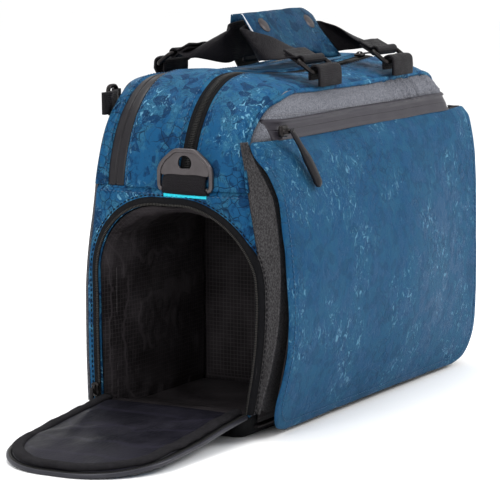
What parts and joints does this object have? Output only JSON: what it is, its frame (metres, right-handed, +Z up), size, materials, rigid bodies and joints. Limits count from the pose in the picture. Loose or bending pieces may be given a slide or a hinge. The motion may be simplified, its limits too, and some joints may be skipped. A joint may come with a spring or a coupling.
{
  "type": "camera messenger bag",
  "caption": "Soft shoulder bag for a camera with a padded drop-down side door, a front flap over a zip pocket, two webbing handles and strap rings.",
  "frame": {"origin": "middle of the underside, on the ground", "axes": "+X along the bag's length towards its closed end, -Y towards the front flap, +Z up"},
  "size_m": [0.5829, 0.2084, 0.343],
  "materials": {
    "blue_fabric": "coated polyester, crackled tonal print",
    "black_base": "black coated fabric",
    "coil_zip": "black zip tape with nylon coil",
    "coated_zip": "water-repellent coated zip, satin",
    "grey_fabric": "heather grey polyester",
    "lining": "dark ripstop lining over foam",
    "binding": "black grosgrain binding",
    "touch_pad": "nylon touch fastener",
    "webbing": "black nylon webbing",
    "gunmetal": "satin gunmetal",
    "slider_metal": "black painted zip slider",
    "pull_rubber": "black moulded cord pull",
    "accent": "bright cyan stitched tape"
  },
  "bodies": {
    "root": {"base_tray": "black_base", "back_panel": "blue_fabric", "front_wall": "blue_fabric", "front_gusset": "blue_fabric", "main_zip": "coil_zip", "center_gusset": "blue_fabric", "rear_zip": "coated_zip", "rear_gusset": "blue_fabric", "end_panel_left": "blue_fabric", "end_panel_right": "blue_fabric", "opening_zip": "coil_zip", "laptop_divider": "lining", "insert_floor": "lining", "insert_front_pad": "lining", "insert_rear_pad": "lining", "insert_divider_left": "lining", "insert_divider_right": "lining", "pocket_front": "grey_fabric", "pocket_gusset": "grey_fabric", "pocket_top_band": "grey_fabric", "pocket_zip": "coated_zip", "pocket_loop_pads": "touch_pad", "accent_tabs": "accent", "anchor_front_right": "webbing", "anchor_front_left": "webbing", "anchor_rear_right": "webbing", "anchor_rear_left": "webbing", "strap_tab_left": "webbing", "strap_tab_right": "webbing", "back_tab_left": "webbing", "back_tab_right": "webbing"},
    "door": {"door_panel": "blue_fabric", "door_zip_half": "coil_zip", "door_binding": "binding", "door_lining": "lining"},
    "flap": {"flap_shell": "blue_fabric", "flap_lining": "lining", "flap_hook_pads": "touch_pad"},
    "pocket_zip_slider": {"pocket_slider": "slider_metal"},
    "pocket_zip_pull": {"pocket_pull": "pull_rubber"},
    "front_handle": {"handle_front": "webbing", "handle_ring_front_left": "gunmetal", "handle_ring_front_right": "gunmetal"},
    "rear_handle": {"handle_rear": "webbing", "handle_ring_rear_left": "gunmetal", "handle_ring_rear_right": "gunmetal"},
    "grip_front": {"grip_leaf_front": "blue_fabric", "snap_caps": "gunmetal"},
    "grip_rear": {"grip_leaf_rear": "blue_fabric", "snap_sockets": "gunmetal"},
    "main_zip_slider": {"main_slider": "slider_metal"},
    "main_zip_pull": {"main_pull": "pull_rubber"},
    "rear_zip_slider": {"rear_slider": "slider_metal"},
    "rear_zip_pull": {"rear_pull": "pull_rubber"},
    "door_zip_slider": {"door_slider": "slider_metal"},
    "door_zip_pull": {"door_pull": "pull_rubber"},
    "strap_ring_l": {"strap_ring_left": "gunmetal"},
    "strap_ring_r": {"strap_ring_right": "gunmetal"},
    "back_ring_l": {"back_ring_left": "gunmetal"},
    "back_ring_r": {"back_ring_right": "gunmetal"}
  },
  "joints": [
    {"name": "door_hinge", "type": "hinge", "parent": "root", "child": "door", "pos_m": [-0.203, 0, 0.02], "axis": [0, 1, 0], "range_deg": [0, 95.5]},
    {"name": "flap_hinge", "type": "hinge", "parent": "root", "child": "flap", "pos_m": [0, -0.096, 0.2405], "axis": [-1, 0, 0], "range_deg": [0, 100]},
    {"name": "pocket_zip_slide", "type": "slide", "parent": "root", "child": "pocket_zip_slider", "axis": [1, 0, 0], "range_m": [0, 0.325]},
    {"name": "pocket_pull_swing", "type": "hinge", "parent": "pocket_zip_slider", "child": "pocket_zip_pull", "pos_m": [-0.167, -0.1045, 0.255], "axis": [-1, 0, 0], "range_deg": [0, 100]},
    {"name": "front_handle_swing", "type": "hinge", "parent": "root", "child": "front_handle", "pos_m": [0, -0.084, 0.297], "axis": [1, 0, 0], "range_deg": [0, 90]},
    {"name": "rear_handle_swing", "type": "hinge", "parent": "root", "child": "rear_handle", "pos_m": [0, 0.07, 0.3], "axis": [-1, 0, 0], "range_deg": [0, 90]},
    {"name": "front_leaf_hinge", "type": "hinge", "parent": "front_handle", "child": "grip_front", "pos_m": [0, -0.0255, 0.305], "axis": [1, 0, 0], "range_deg": [0, 65]},
    {"name": "rear_leaf_hinge", "type": "hinge", "parent": "rear_handle", "child": "grip_rear", "pos_m": [0, 0.0185, 0.305], "axis": [-1, 0, 0], "range_deg": [0, 45]},
    {"name": "main_zip_slide", "type": "slide", "parent": "root", "child": "main_zip_slider", "axis": [-1, 0, 0], "range_m": [0, 0.22]},
    {"name": "main_pull_swing", "type": "hinge", "parent": "main_zip_slider", "child": "main_zip_pull", "pos_m": [0.1185, -0.025, 0.2994], "axis": [0, -1, 0], "range_deg": [0, 100]},
    {"name": "rear_zip_slide", "type": "slide", "parent": "root", "child": "rear_zip_slider", "axis": [-1, 0, 0], "range_m": [0, 0.22]},
    {"name": "rear_pull_swing", "type": "hinge", "parent": "rear_zip_slider", "child": "rear_zip_pull", "pos_m": [0.1185, 0.0445, 0.2994], "axis": [0, -1, 0], "range_deg": [0, 100]},
    {"name": "door_zip_slide", "type": "slide", "parent": "root", "child": "door_zip_slider", "axis": [0, 0, 1], "range_m": [0, 0.09]},
    {"name": "door_pull_swing", "type": "hinge", "parent": "door_zip_slider", "child": "door_zip_pull", "pos_m": [-0.21125, 0.066, 0.031], "axis": [0, 1, 0], "range_deg": [0, 110]},
    {"name": "strap_ring_left_swing", "type": "hinge", "parent": "root", "child": "strap_ring_l", "pos_m": [-0.2062, -0.026, 0.207], "axis": [0, -1, 0], "range_deg": [0, 150]},
    {"name": "strap_ring_right_swing", "type": "hinge", "parent": "root", "child": "strap_ring_r", "pos_m": [0.2062, -0.026, 0.207], "axis": [0, 1, 0], "range_deg": [0, 150]},
    {"name": "back_ring_left_swing", "type": "hinge", "parent": "root", "child": "back_ring_l", "pos_m": [-0.139, 0.0834, 0.272], "axis": [0, 0, -1], "range_deg": [0, 150]},
    {"name": "back_ring_right_swing", "type": "hinge", "parent": "root", "child": "back_ring_r", "pos_m": [0.139, 0.0834, 0.272], "axis": [0, 0, 1], "range_deg": [0, 150]}
  ],
  "couplings": [
    {"joint": "pocket_pull_swing", "follows": "flap_hinge", "ratio": 1}
  ]
}
